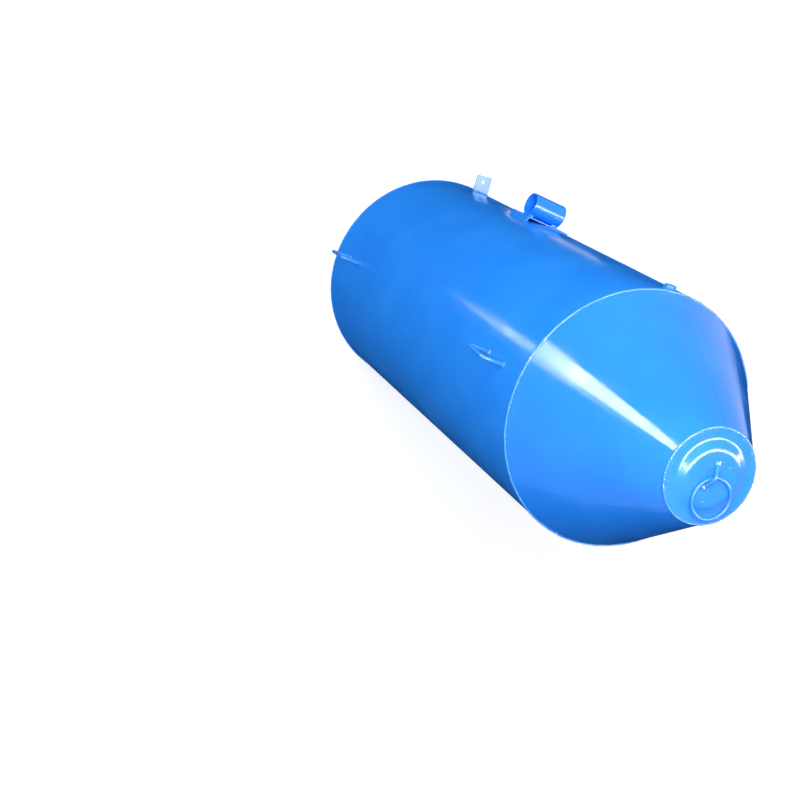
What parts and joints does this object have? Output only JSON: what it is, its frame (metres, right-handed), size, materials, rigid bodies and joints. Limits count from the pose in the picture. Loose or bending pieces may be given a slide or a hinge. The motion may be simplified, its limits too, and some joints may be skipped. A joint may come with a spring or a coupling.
{
  "type": "dredge float",
  "caption": "Rolled steel dredge float with a coned nose, a capped end with a swinging mooring ring, lifting handles, a pipe socket on a folded saddle and a drilled line tab.",
  "frame": {"origin": "centre of the rear plate's outer face, which the float stands on", "axes": "+Z along the drum's axis from the rear plate to the nose, -Y squarely out through the saddle that carries the pipe socket, +X along the socket's bore towards the side with the handles"},
  "size_m": [0.6643, 0.6667, 1.6261],
  "materials": {
    "blue_enamel": "glossy",
    "light_blue_enamel": "glossy"
  },
  "bodies": {
    "float": {"drum_shell": "blue_enamel", "rear_plate": "blue_enamel", "nose_cone": "light_blue_enamel", "nose_cap": "light_blue_enamel", "ring_staple": "blue_enamel", "staple_weld_front": "light_blue_enamel", "staple_weld_back": "light_blue_enamel", "handle_front": "blue_enamel", "handle_front_weld_front": "light_blue_enamel", "handle_front_weld_rear": "light_blue_enamel", "handle_rear": "blue_enamel", "handle_rear_weld_front": "light_blue_enamel", "handle_rear_weld_rear": "light_blue_enamel", "socket_saddle": "blue_enamel", "saddle_weld_left": "light_blue_enamel", "saddle_weld_right": "light_blue_enamel", "socket_tube": "blue_enamel", "tube_tack_front_left": "light_blue_enamel", "tube_tack_front_right": "light_blue_enamel", "tube_tack_rear_left": "light_blue_enamel", "tube_tack_rear_right": "light_blue_enamel", "rear_tab": "blue_enamel", "tab_weld_front": "light_blue_enamel", "tab_weld_rear": "light_blue_enamel", "plug_boss": "blue_enamel", "air_plug": "light_blue_enamel", "plug_weld": "light_blue_enamel", "front_rim_weld": "light_blue_enamel", "rear_rim_weld": "blue_enamel", "cap_weld": "light_blue_enamel", "drum_seam_weld_front": "light_blue_enamel", "drum_seam_weld_middle": "light_blue_enamel", "drum_seam_weld_rear": "light_blue_enamel", "cone_seam_weld": "light_blue_enamel"},
    "ring": {"mooring_ring": "blue_enamel"}
  },
  "joints": [
    {"name": "ring_swing", "type": "hinge", "parent": "float", "child": "ring", "pos_m": [0.00713, 0.00217, 1.6097], "axis": [0.8434, 0.5373, 0], "range_deg": [0, 180]}
  ]
}
